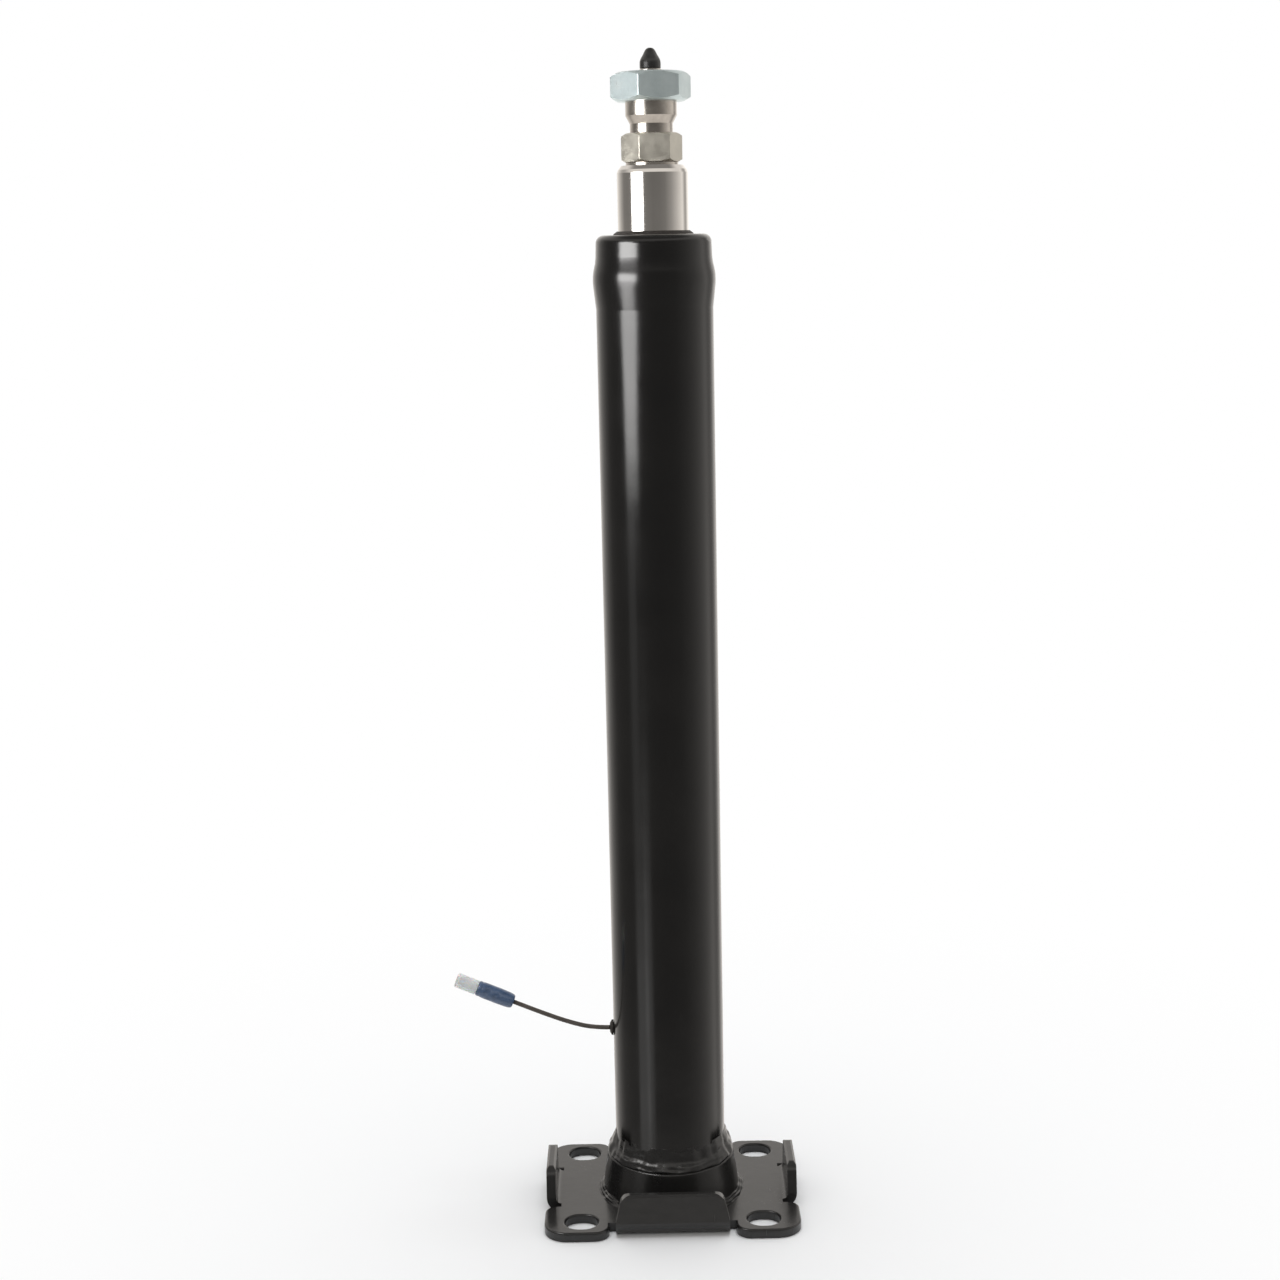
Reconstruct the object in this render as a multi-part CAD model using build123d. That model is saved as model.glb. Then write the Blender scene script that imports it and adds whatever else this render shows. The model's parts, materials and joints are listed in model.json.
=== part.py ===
"""Telescopic hydraulic cylinder: an upright strut damper on a four-lug foot.

Millimetres. +Z points up along the barrel's axis, and the origin is on that axis at the foot's underside.
The plunger is shown fully in, resting on the bump stop.
"""

import math
import os

from build123d import *

# ---- driving dimensions -------------------------------------------------------------------------

OVERALL_HEIGHT = 616.0
RUNNING = 0.05  # radial clearance of a sliding fit
STANDOFF = 0.3  # gap between pieces that move past each other without guiding

# foot
FOOT_LENGTH = 138.0  # along X
FOOT_DEPTH = 109.0  # along Y
SHEET = 5.0
FLANGE_TOP = 24.0
BEND_RADIUS = 8.0  # outside of the bend
BOLT_SPACING_X = 98.0
BOLT_SPACING_Y = 83.0
SLOT_WIDTH = 16.0
SLOT_LENGTH = 18.0
LUG_WIDTH = 35.0  # along X
LUG_DEPTH = 31.5  # along Y
COLLAR_RADIUS = 37.4  # at its foot
COLLAR_TOP_RADIUS = 34.7
COLLAR_TOP = 27.5
COLLAR_EDGE = 1.3  # rounding of the collar's top edge
WELD_WAIST = (32.9, 31.6)  # radius and height where the tube's weld narrows
WELD_TOP = 40.0
FOOT_WELD = 3.2  # leg of the weld between collar and sheet

# barrel
BARREL_RADIUS = 30.0
BORE_RADIUS = 27.0
BARREL_FOOT = 1.0
BARREL_TOP = 524.5
MOUTH_RADIUS = 29.5  # outside of the barrel's mouth, at its rim
MOUTH_FOOT_RADIUS = 29.75
MOUTH_BORE = 26.4
BEAD_HEIGHT = 501.5  # of the bead's crest
BEAD_BELOW = 14.0  # length of the bead's flank below its crest
BEAD_ABOVE = 12.0
BEAD_OUTLINE = [(30.34, -10.7), (31.02, -4.6), (31.4, 0.0), (31.0, 4.8), (30.34, 7.8)]  # radius, height
RIM_RADIUS = 22.6  # of the hole in the rolled rim
RIM_BEND = 4.0
RIM_THICKNESS = 2.0

# plunger
PLUNGER_RADIUS = 18.0
PLUNGER_BORE = 15.5
PLUNGER_FOOT = 110.0
PLUNGER_TOP = 558.6
HEX_FLATS = 27.0
HEX_BOTTOM = 560.0
HEX_TOP = 574.5
HEX_TURN = 5.5  # degrees about Z
GROOVE_RADIUS = 10.85
SHOULDER_RADIUS = 13.0
SHOULDER_BOTTOM = 582.0
STUD_RADIUS = 12.0
NUT_FLATS = 36.0
NUT_BOTTOM = 590.0
NUT_HEIGHT = 14.0
NUT_TURN = 12.0
CAP_RADIUS = 5.3

# rod and piston
ROD_RADIUS = 7.0
ROD_BORE = 2.5
ROD_END_RADIUS = 6.0  # of its threaded ends
ROD_SEAT = 24.0  # top of the base plug
PISTON_BOTTOM = 308.0
PISTON_TOP = 334.0
GUIDE_TOP = 148.0
GAS_PISTON_BOTTOM = 352.0
GAS_PISTON_TOP = 374.0

# lead
LEAD_DIAMETER = 2.4
LEAD_HEIGHT = 98.6
LEAD_RISE_X = -18.5  # where the hidden lead climbs beside the bump stop
GROMMET_FACE_X = -32.0
GROMMET_WAIST = 3.0
BOOT_LENGTH = 21.2
SLEEVE_LENGTH = 12.2

# the free lead's route, from the grommet to the connector
LEAD_ROUTE = [
    (GROMMET_FACE_X, 0.0, LEAD_HEIGHT),
    (-41.0, 0.0, LEAD_HEIGHT),
    (-54.5, 0.0, 102.2),
    (-70.0, 0.0, 108.3),
    (-84.5, 0.0, 114.6),
]

# the hidden lead's route, from the piston's coil to the grommet's outer face
INNER_ROUTE = [
    (-8.9, 0.0, 320.0),
    (0.0, 0.0, 320.0),
    (0.0, 0.0, 32.0),
    (LEAD_RISE_X, 0.0, 32.0),
    (LEAD_RISE_X, 0.0, LEAD_HEIGHT),
    (GROMMET_FACE_X, 0.0, LEAD_HEIGHT),
]
INNER_RADII = [4.0, 8.0, 8.0, 6.0]


# ---- helpers ------------------------------------------------------------------------------------


def flat(*edges):
    """A face in the XZ plane from edges drawn as (x, z) points in the XY plane."""
    return Plane.XZ * make_face(edges)


def lathe(*points):
    """A solid turned about Z from straight lines between (radius, height) points."""
    return revolve(flat(*Polyline(*points, close=True).edges()), Axis.Z)


def ring(inner, outer, bottom, top, edge=0.0):
    """A plain ring, with its outer edges chamfered when edge is given."""
    if not edge:
        return lathe((inner, bottom), (outer, bottom), (outer, top), (inner, top))
    return lathe(
        (inner, bottom),
        (outer - edge, bottom),
        (outer, bottom + edge),
        (outer, top - edge),
        (outer - edge, top),
        (inner, top),
    )


def disc_stack(*steps):
    """Cylinders one above another, each given as (radius, bottom, top)."""
    points = [(0, steps[0][1])]
    for radius, bottom, top in steps:
        points += [(radius, bottom), (radius, top)]
    return lathe(*points, (0, steps[-1][2]))


def o_ring(inner, outer, middle):
    """A seal ring of round section, slightly flattened to fill the groove's depth."""
    half = (outer - inner) / 2
    section = Pos((inner + outer) / 2, middle) * Ellipse(half, half * 1.12)
    return revolve(Plane.XZ * section, Axis.Z)


def hexagon(flats, bottom, top, turn, bore=0.0, bevel=0.55, sink=0.0):
    """A hexagon bar turned about Z: softened edges, 30 degree bevels on its corners, and a bore.

    The bore is countersunk at the top when sink is given.
    """
    corner = flats / math.sqrt(3)
    outline = RegularPolygon(flats / 2, 6, major_radius=False, rotation=turn)
    bar = extrude(fillet(outline.vertices(), 0.02 * flats), top - bottom)
    inside = flats / 2 - bevel
    outside = corner + 1.0
    rise = (outside - inside) * math.tan(math.radians(30))
    envelope = lathe(
        (bore, bottom),
        (inside, bottom),
        (outside, bottom + rise),
        (outside, top - rise),
        (inside, top),
        *([(bore + sink, top), (bore, top - sink)] if sink else [(bore, top)]),
    )
    return (Pos(0, 0, bottom) * bar) & envelope


def lead_tube(points, radii, diameter):
    """A round lead along straight runs joined by tangent arcs."""
    path = FilletPolyline(*points, radius=radii)
    start = path @ 0
    section = Plane(origin=start, z_dir=path % 0) * Circle(diameter / 2)
    tube = sweep(section, path)
    print(f"lead: length {path.length:.1f} mm, volume {tube.volume:.1f},"
          f" section times length {math.pi * diameter**2 / 4 * path.length:.1f}")
    return tube


def arc_radii(points):
    """The largest arc that each corner of a route has room for."""
    radii = []
    for before, corner, after in zip(points, points[1:], points[2:]):
        arriving = Vector(*corner) - Vector(*before)
        leaving = Vector(*after) - Vector(*corner)
        half_turn = math.radians(arriving.get_angle(leaving)) / 2
        radii.append(0.45 * min(arriving.length, leaving.length) / math.tan(half_turn))
    print("lead: arc radii", [round(radius, 1) for radius in radii])
    return radii


# ---- foot ---------------------------------------------------------------------------------------


LUG_CORNER = 13.0  # rounding of a lug's outer corner
LUG_INNER_CORNER = 8.0
LUG_NOTCH = 6.0
FLANGE_LIP = 1.2  # bevel of a flange's top edge
FLANGE_CORNER = 6.0
SIDE_FLANGE = (20.0, 17.0)  # half widths at its bend and at its top
FRONT_FLANGE = (30.5, 27.0)


def lug_outline(side_x, side_y):
    """One corner lug of the foot, seen from above, with its rounded corners."""
    centre_x = side_x * (FOOT_LENGTH - LUG_WIDTH) / 2
    centre_y = side_y * (FOOT_DEPTH - LUG_DEPTH) / 2
    lug = Pos(centre_x, centre_y) * Rectangle(LUG_WIDTH, LUG_DEPTH)
    by_reach = sorted(lug.vertices(), key=lambda v: side_x * v.X + side_y * v.Y)
    lug = fillet(by_reach[-1], LUG_CORNER)
    by_side = sorted(lug.vertices(), key=lambda v: side_x * v.X)
    inner_front = max(by_side[:2], key=lambda v: side_y * v.Y)
    lug = fillet(inner_front, LUG_INNER_CORNER)
    outer_notch = max(lug.vertices(), key=lambda v: side_x * v.X - side_y * v.Y)
    return fillet(outer_notch, LUG_NOTCH)


def flange(reach, half_width, top_half_width):
    """An upturned flange on the +X side, at that reach from the axis, bent up out of the sheet."""
    inner_bend = BEND_RADIUS - SHEET
    bend_centre = (reach - BEND_RADIUS, BEND_RADIUS)
    root = reach - BEND_RADIUS - 2.0
    diagonal = math.sqrt(0.5)
    outer_middle = (bend_centre[0] + BEND_RADIUS * diagonal, BEND_RADIUS * (1 - diagonal))
    inner_middle = (bend_centre[0] + inner_bend * diagonal, BEND_RADIUS - inner_bend * diagonal)
    section = flat(
        Line((root, 0), (bend_centre[0], 0)),
        ThreePointArc((bend_centre[0], 0), outer_middle, (reach, BEND_RADIUS)),
        Line((reach, BEND_RADIUS), (reach, FLANGE_TOP - FLANGE_LIP)),
        Line((reach, FLANGE_TOP - FLANGE_LIP), (reach - FLANGE_LIP, FLANGE_TOP)),
        Line((reach - FLANGE_LIP, FLANGE_TOP), (reach - SHEET + FLANGE_LIP, FLANGE_TOP)),
        Line((reach - SHEET + FLANGE_LIP, FLANGE_TOP), (reach - SHEET, FLANGE_TOP - FLANGE_LIP)),
        Line((reach - SHEET, FLANGE_TOP - FLANGE_LIP), (reach - SHEET, BEND_RADIUS)),
        ThreePointArc((reach - SHEET, BEND_RADIUS), inner_middle, (bend_centre[0], SHEET)),
        Line((bend_centre[0], SHEET), (root, SHEET)),
        Line((root, SHEET), (root, 0)),
    )
    bent = extrude(section, half_width + 1, both=True)
    face = Polyline(
        (-half_width, -1),
        (half_width, -1),
        (half_width, BEND_RADIUS),
        (top_half_width, FLANGE_TOP + 0.01),
        (-top_half_width, FLANGE_TOP + 0.01),
        (-half_width, BEND_RADIUS),
        close=True,
    )
    shape = make_face(face.edges())
    top_corners = shape.vertices().sort_by(Axis.Y)[-2:]
    shape = fillet(top_corners, FLANGE_CORNER)
    silhouette = Plane.YZ * shape
    return bent & extrude(silhouette, reach + 10)


def foot_plate():
    """Pressed foot: a flat sheet with four lugs, slots for the bolts and four upturned flanges."""
    front_reach = FOOT_DEPTH / 2 - 3.0
    side_reach = FOOT_LENGTH / 2 - 0.5
    outline = Rectangle(2 * (side_reach - BEND_RADIUS), 2 * (front_reach - BEND_RADIUS))
    for side_x in (-1, 1):
        for side_y in (-1, 1):
            outline += lug_outline(side_x, side_y)
    outline -= Circle(BARREL_RADIUS)
    slots = GridLocations(BOLT_SPACING_X, BOLT_SPACING_Y, 2, 2) * SlotOverall(SLOT_LENGTH, SLOT_WIDTH)
    plate = extrude(outline - slots, SHEET)
    rims = [
        edge
        for edge in plate.edges().filter_by_position(Axis.Z, SHEET, SHEET)
        if edge.bounding_box().min.Z > SHEET - 0.01 and in_lug(edge.center())
    ]
    plate = fillet(rims, 1.0)
    side_flange = flange(side_reach, *SIDE_FLANGE)
    front_flange = flange(front_reach, *FRONT_FLANGE)
    for turn in (0, 180):
        plate += Rot(0, 0, turn) * side_flange
        plate += Rot(0, 0, turn + 90) * front_flange
    return plate


def in_lug(point):
    """Whether a point of the foot's outline is on a lug, clear of the bends and the middle."""
    lug_side = abs(point.X) > FOOT_LENGTH / 2 - LUG_WIDTH - 0.1
    lug_front = abs(point.Y) > FOOT_DEPTH / 2 - LUG_DEPTH - 0.1
    return lug_side and lug_front


def base_collar():
    """Round collar on the sheet, widest at its foot and curving in to its rounded top edge."""
    edge_low = COLLAR_TOP - COLLAR_EDGE
    edge_in = COLLAR_TOP_RADIUS - COLLAR_EDGE
    diagonal = COLLAR_EDGE * math.sqrt(0.5)
    return revolve(
        flat(
            Line((BARREL_RADIUS, SHEET), (COLLAR_RADIUS, SHEET)),
            Spline(
                (COLLAR_RADIUS, SHEET),
                (COLLAR_RADIUS - 1.0, 15.0),
                (COLLAR_TOP_RADIUS, edge_low),
                tangents=[(-0.05, 1), (-0.1, 1)],
            ),
            ThreePointArc(
                (COLLAR_TOP_RADIUS, edge_low),
                (edge_in + diagonal, edge_low + diagonal),
                (edge_in, COLLAR_TOP),
            ),
            Line((edge_in, COLLAR_TOP), (BARREL_RADIUS, COLLAR_TOP)),
            Line((BARREL_RADIUS, COLLAR_TOP), (BARREL_RADIUS, SHEET)),
        ),
        Axis.Z,
    )


def base_weld():
    """Weld round the tube on the collar, bulging at its foot and flaring in to the tube."""
    foot = COLLAR_TOP_RADIUS - COLLAR_EDGE
    return revolve(
        flat(
            Line((BARREL_RADIUS, COLLAR_TOP), (foot, COLLAR_TOP)),
            Spline(
                (foot, COLLAR_TOP),
                (COLLAR_TOP_RADIUS - 0.3, COLLAR_TOP + 1.4),
                WELD_WAIST,
                (BARREL_RADIUS, WELD_TOP),
                tangents=[(1, 0.8), (-0.05, 1)],
            ),
            Line((BARREL_RADIUS, WELD_TOP), (BARREL_RADIUS, COLLAR_TOP)),
        ),
        Axis.Z,
    )


def foot_weld():
    """Fillet weld in the corner between the collar and the sheet, its face slightly hollow."""
    collar_side = COLLAR_RADIUS - 0.3
    face_middle = (collar_side + FOOT_WELD * 0.42, SHEET + FOOT_WELD * 0.42)
    root = collar_side - 1.0
    toe, top = collar_side + FOOT_WELD, SHEET + FOOT_WELD
    weld = revolve(
        flat(
            Line((root, SHEET), (toe, SHEET)),
            ThreePointArc((toe, SHEET), face_middle, (collar_side, top)),
            Line((collar_side, top), (root, top)),
            Line((root, top), (root, SHEET)),
        ),
        Axis.Z,
    )
    return weld - base_collar()


# ---- barrel -------------------------------------------------------------------------------------


def barrel_tube():
    """Outer tube, with a rolled bead near the top, a slightly smaller mouth and a rolled-over rim."""
    bead_start = BEAD_HEIGHT - BEAD_BELOW
    bead_end = BEAD_HEIGHT + BEAD_ABOVE
    rim_underside = BARREL_TOP - RIM_THICKNESS
    step_top, step_bottom = BEAD_HEIGHT + 7.0, BEAD_HEIGHT + 5.0
    diagonal = RIM_BEND * math.sqrt(0.5)
    bend_middle = (MOUTH_RADIUS - RIM_BEND + diagonal, BARREL_TOP - RIM_BEND + diagonal)
    tube = revolve(
        flat(
            Line((BORE_RADIUS, BARREL_FOOT), (BARREL_RADIUS, BARREL_FOOT)),
            Line((BARREL_RADIUS, BARREL_FOOT), (BARREL_RADIUS, bead_start)),
            Spline(
                (BARREL_RADIUS, bead_start),
                *[(radius, BEAD_HEIGHT + height) for radius, height in BEAD_OUTLINE],
                (MOUTH_FOOT_RADIUS, bead_end),
                tangents=[(0, 1), (-0.05, 1)],
            ),
            Line((MOUTH_FOOT_RADIUS, bead_end), (MOUTH_RADIUS, BARREL_TOP - RIM_BEND)),
            ThreePointArc(
                (MOUTH_RADIUS, BARREL_TOP - RIM_BEND),
                bend_middle,
                (MOUTH_RADIUS - RIM_BEND, BARREL_TOP),
            ),
            Line((MOUTH_RADIUS - RIM_BEND, BARREL_TOP), (RIM_RADIUS, BARREL_TOP)),
            Line((RIM_RADIUS, BARREL_TOP), (RIM_RADIUS, rim_underside)),
            Line((RIM_RADIUS, rim_underside), (MOUTH_BORE, rim_underside)),
            Line((MOUTH_BORE, rim_underside), (MOUTH_BORE, step_top)),
            Line((MOUTH_BORE, step_top), (BORE_RADIUS, step_bottom)),
            Line((BORE_RADIUS, step_bottom), (BORE_RADIUS, BARREL_FOOT)),
        ),
        Axis.Z,
    )
    lead_hole = Pos(-BARREL_RADIUS, 0, LEAD_HEIGHT) * Rot(0, 90, 0) * Cylinder(GROMMET_WAIST, 10.0)
    return tube - lead_hole


GLAND_BOTTOM = 470.0
GLAND_TOP = BARREL_TOP - 2.0
GLAND_BUSH_RADIUS = 20.0
SEAL_SEAT_RADIUS = 23.0
WIPER_SEAT_RADIUS = 22.4
WIPER_SEAT = GLAND_TOP - 6.0
SEAL_TOP = GLAND_TOP - 7.5
SEAL_BOTTOM = GLAND_TOP - 15.5
BUSH_TOP = GLAND_TOP - 17.5
GLAND_GROOVE = (24.0, 493.0, 497.4)  # radius, bottom and top of its seal's groove


def gland():
    """Guide and seal housing inside the barrel's mouth."""
    passage = PLUNGER_RADIUS + STANDOFF + 0.1
    groove, groove_bottom, groove_top = GLAND_GROOVE
    return lathe(
        (GLAND_BUSH_RADIUS, GLAND_BOTTOM),
        (MOUTH_BORE - 1, GLAND_BOTTOM),
        (MOUTH_BORE, GLAND_BOTTOM + 1),
        (MOUTH_BORE, groove_bottom),
        (groove, groove_bottom),
        (groove, groove_top),
        (MOUTH_BORE, groove_top),
        (MOUTH_BORE, GLAND_TOP),
        (WIPER_SEAT_RADIUS, GLAND_TOP),
        (WIPER_SEAT_RADIUS, WIPER_SEAT),
        (passage, WIPER_SEAT),
        (passage, SEAL_TOP),
        (SEAL_SEAT_RADIUS, SEAL_TOP),
        (SEAL_SEAT_RADIUS, SEAL_BOTTOM),
        (passage, SEAL_BOTTOM),
        (passage, BUSH_TOP),
        (GLAND_BUSH_RADIUS, BUSH_TOP),
    )


def gland_o_ring():
    groove, bottom, top = GLAND_GROOVE
    return o_ring(groove, BORE_RADIUS - 0.02, (bottom + top) / 2)


def upper_bush():
    return ring(PLUNGER_RADIUS + RUNNING, GLAND_BUSH_RADIUS, GLAND_BOTTOM + 1, BUSH_TOP)


def plunger_seal():
    """Lip seal with a spring groove, opening downwards to the fluid."""
    lip = PLUNGER_RADIUS + RUNNING
    cleft_top = SEAL_BOTTOM + 4.0
    return lathe(
        (lip, SEAL_BOTTOM),
        (lip + 1.2, SEAL_BOTTOM),
        (lip + 1.9, cleft_top),
        (SEAL_SEAT_RADIUS - 1.9, cleft_top),
        (SEAL_SEAT_RADIUS - 1.2, SEAL_BOTTOM),
        (SEAL_SEAT_RADIUS, SEAL_BOTTOM),
        (SEAL_SEAT_RADIUS, SEAL_TOP),
        (lip + 0.9, SEAL_TOP),
        (lip + 0.9, cleft_top),
        (lip, SEAL_BOTTOM + 1.5),
    )


def wiper_seal():
    """Wiper in the gland, with a lip that stands above the barrel's rim."""
    lip = PLUNGER_RADIUS + RUNNING
    return lathe(
        (lip + 0.8, WIPER_SEAT),
        (WIPER_SEAT_RADIUS, WIPER_SEAT),
        (WIPER_SEAT_RADIUS, GLAND_TOP),
        (21.6, GLAND_TOP),
        (20.2, BARREL_TOP + 0.6),
        (lip + 0.5, BARREL_TOP + 1.8),
        (lip, BARREL_TOP + 1.2),
        (lip, BARREL_TOP - 0.6),
        (lip + 0.8, BARREL_TOP - 2.6),
    )


PLUG_RECESS = (12.5, 3.0, 11.0)  # radius, bottom and top of the recess for the rod's nut
ROD_NUT_FLATS = 19.0
ROD_NUT_BOTTOM = 4.0
WASHER_THICKNESS = 1.5


def base_plug():
    """Thick plug in the barrel's foot, with a recess below for the rod's nut."""
    recess, bottom, recess_top = PLUG_RECESS
    return lathe(
        (ROD_END_RADIUS, recess_top),
        (recess, recess_top),
        (recess, bottom),
        (BORE_RADIUS, bottom),
        (BORE_RADIUS, ROD_SEAT - 1),
        (BORE_RADIUS - 1, ROD_SEAT),
        (ROD_END_RADIUS, ROD_SEAT),
    )


def rod_nut():
    return hexagon(ROD_NUT_FLATS, ROD_NUT_BOTTOM, PLUG_RECESS[2], 10.0, ROD_END_RADIUS)


def rod_seal_washer():
    return ring(ROD_END_RADIUS, 10.5, ROD_SEAT, ROD_SEAT + WASHER_THICKNESS)


# ---- rod, buffers and lead ----------------------------------------------------------------------

ROD_SHOULDER = ROD_SEAT + WASHER_THICKNESS
ROD_TOP = PISTON_TOP + 9.0


def piston_rod():
    """Hollow rod with threaded ends, bored for the lead, with a slot in its side at each end."""
    rod = disc_stack(
        (ROD_END_RADIUS - 0.6, 2.5, 3.5),
        (ROD_END_RADIUS, 3.5, ROD_SHOULDER),
        (ROD_RADIUS, ROD_SHOULDER, PISTON_BOTTOM),
        (ROD_END_RADIUS, PISTON_BOTTOM, ROD_TOP - 1),
        (ROD_END_RADIUS - 0.8, ROD_TOP - 1, ROD_TOP),
    )
    bore_bottom, bore_top = 29.0, 324.0
    rod -= Pos(0, 0, (bore_bottom + bore_top) / 2) * Cylinder(ROD_BORE, bore_top - bore_bottom)
    slot_height = 10.0
    for slot_bottom in (bore_bottom + 1.0, bore_top - 2.0 - slot_height):
        rod -= Pos(-5, 0, slot_bottom + slot_height / 2) * Box(10, 3.0, slot_height)
    return rod


BUMP_SEAT_TOP = 46.0
BUMP_SEAT_FLANGE = 17.0
BUMP_SEAT_RADIUS = 14.0
BUMP_SEAT_BORE = 11.0
BUMP_ROLLS = [(46.0, 68.0, 13.9), (68.0, 90.0, 13.2), (90.0, 111.7, 12.6)]  # bottom, top, radius
BUMP_WAIST = 10.2


def bump_seat():
    """Cup on the base plug that carries the bump stop, notched for the lead."""
    cup = lathe(
        (BUMP_SEAT_BORE, ROD_SEAT),
        (BUMP_SEAT_FLANGE, ROD_SEAT),
        (BUMP_SEAT_FLANGE, ROD_SEAT + 2),
        (BUMP_SEAT_RADIUS, ROD_SEAT + 3),
        (BUMP_SEAT_RADIUS, BUMP_SEAT_TOP - 3),
        (BUMP_SEAT_RADIUS + 1, BUMP_SEAT_TOP - 3),
        (BUMP_SEAT_RADIUS + 1, BUMP_SEAT_TOP + 2),
        (BUMP_SEAT_RADIUS, BUMP_SEAT_TOP + 2),
        (BUMP_SEAT_RADIUS, BUMP_SEAT_TOP),
        (ROD_RADIUS + 0.2, BUMP_SEAT_TOP),
        (ROD_RADIUS + 0.2, BUMP_SEAT_TOP - 4),
        (BUMP_SEAT_BORE, BUMP_SEAT_TOP - 4),
    )
    notch_top = 35.0
    notch = Box(8, LEAD_DIAMETER + 1.6, notch_top - ROD_SEAT)
    return cup - Pos(-BUMP_SEAT_RADIUS, 0, (ROD_SEAT + notch_top) / 2) * notch


def bump_stop():
    """Elastomer buffer of three rounded rolls that narrows upwards."""
    inner = ROD_RADIUS + 0.4
    foot, crown = BUMP_ROLLS[0][0], BUMP_ROLLS[-1][1]
    start = (BUMP_WAIST + 1.5, foot)
    edges = [Line((inner, foot), start)]
    for bottom, top, radius in BUMP_ROLLS:
        end = (BUMP_WAIST if top < crown else BUMP_WAIST + 1.2, top)
        edges.append(ThreePointArc(start, (radius, (bottom + top) / 2), end))
        start = end
    edges += [Line(start, (inner, crown)), Line((inner, crown), (inner, foot))]
    return revolve(flat(*edges), Axis.Z)


def rebound_stop():
    return ring(ROD_RADIUS, 12.6, PISTON_BOTTOM - 8, PISTON_BOTTOM, 1.5)


def lead_grommet():
    """Rubber grommet in the barrel's side, with a flange outside and a lip inside."""
    flange_radius, flange_start = 4.2, BARREL_RADIUS + 0.15
    body = lathe(
        (LEAD_DIAMETER / 2, BORE_RADIUS - 1.0),
        (GROMMET_WAIST, BORE_RADIUS - 1.0),
        (GROMMET_WAIST, flange_start),
        (flange_radius, flange_start),
        (flange_radius, BARREL_RADIUS + 1.0),
        (2.4, -GROMMET_FACE_X),
        (LEAD_DIAMETER / 2, -GROMMET_FACE_X),
    )
    return Pos(0, 0, LEAD_HEIGHT) * Rot(0, -90, 0) * body


def inner_lead():
    return lead_tube(INNER_ROUTE, INNER_RADII, LEAD_DIAMETER)


def lead_wire():
    return lead_tube(LEAD_ROUTE, arc_radii(LEAD_ROUTE), LEAD_DIAMETER)


BOOT_RADIUS = 4.3
SLEEVE_RADIUS = 4.0
PIN_RADIUS = 1.6
RECEPTACLE_RADIUS = 2.3


def on_lead_end(shape):
    """Moves a shape drawn along +Z from zero to the free end of the lead, in line with it."""
    end, before = Vector(*LEAD_ROUTE[-1]), Vector(*LEAD_ROUTE[-2])
    return Plane(origin=end, z_dir=end - before, x_dir=(0, 1, 0)) * shape


def connector_boot():
    """Crimp barrel: a funnel mouth, a straight barrel and a step to the clear end."""
    core = LEAD_DIAMETER / 2
    boot = lathe(
        (core, 0.0),
        (3.2, 0.0),
        (3.9, 0.8),
        (3.9, 5.5),
        (BOOT_RADIUS, 6.3),
        (BOOT_RADIUS, BOOT_LENGTH - 1.0),
        (3.7, BOOT_LENGTH),
        (PIN_RADIUS, BOOT_LENGTH),
        (PIN_RADIUS, 4.0),
        (core, 4.0),
    )
    dent = Pos(0, 6.6, 11.5) * Sphere(3.0)
    return on_lead_end(boot - dent)


def connector_terminal():
    """Tinned pin: crimped round the core in the boot and rolled round in the clear end."""
    end = BOOT_LENGTH + SLEEVE_LENGTH
    pin = lathe(
        (0.0, 4.4),
        (PIN_RADIUS, 4.4),
        (PIN_RADIUS, BOOT_LENGTH + 0.6),
        (RECEPTACLE_RADIUS, BOOT_LENGTH + 1.4),
        (RECEPTACLE_RADIUS, end - 1.6),
        (1.5, end - 1.6),
        (1.5, BOOT_LENGTH + 4.0),
        (0.0, BOOT_LENGTH + 4.0),
    )
    return on_lead_end(pin)


def connector_sleeve():
    """Clear nylon end round the terminal, open at its mouth."""
    end = BOOT_LENGTH + SLEEVE_LENGTH
    sleeve = lathe(
        (2.5, BOOT_LENGTH),
        (3.6, BOOT_LENGTH),
        (SLEEVE_RADIUS, BOOT_LENGTH + 0.5),
        (SLEEVE_RADIUS, end - 0.6),
        (3.5, end),
        (2.9, end),
        (2.9, BOOT_LENGTH + 1.0),
        (2.5, BOOT_LENGTH + 0.6),
    )
    return on_lead_end(sleeve)


# ---- valve piston on the rod --------------------------------------------------------------------

PLATE = 3.0
SPOOL_BOTTOM = PISTON_BOTTOM + PLATE
SPOOL_TOP = PISTON_TOP - PLATE
SPOOL_RADIUS = 12.4
PISTON_RING_BORE = 13.8
PISTON_RING_RADIUS = 15.1
BAND_SEAT = 14.5
COIL_BOTTOM = SPOOL_BOTTOM + 4.0
COIL_TOP = SPOOL_TOP - 4.0
COIL_BORE = 9.0
COIL_RADIUS = 12.2


def piston_core():
    """Spool for the coil, with a slot where the lead comes through."""
    spool = lathe(
        (ROD_END_RADIUS, SPOOL_BOTTOM),
        (SPOOL_RADIUS, SPOOL_BOTTOM),
        (SPOOL_RADIUS, COIL_BOTTOM),
        (COIL_BORE, COIL_BOTTOM),
        (COIL_BORE, COIL_TOP),
        (SPOOL_RADIUS, COIL_TOP),
        (SPOOL_RADIUS, SPOOL_TOP),
        (ROD_END_RADIUS, SPOOL_TOP),
    )
    return spool - Pos(-7.5, 0, 320.0) * Box(4, 3.0, 3.0)


def piston_coil():
    """Winding, with the ridges of its outer layer of wire."""
    turns = 12
    pitch = (COIL_TOP - COIL_BOTTOM) / turns
    valley = COIL_RADIUS - 0.3
    points = [(COIL_BORE, COIL_BOTTOM)]
    for turn in range(turns):
        low = COIL_BOTTOM + turn * pitch
        points += [(valley, low), (COIL_RADIUS, low + pitch / 2)]
    return lathe(*points, (valley, COIL_TOP), (COIL_BORE, COIL_TOP))


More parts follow.
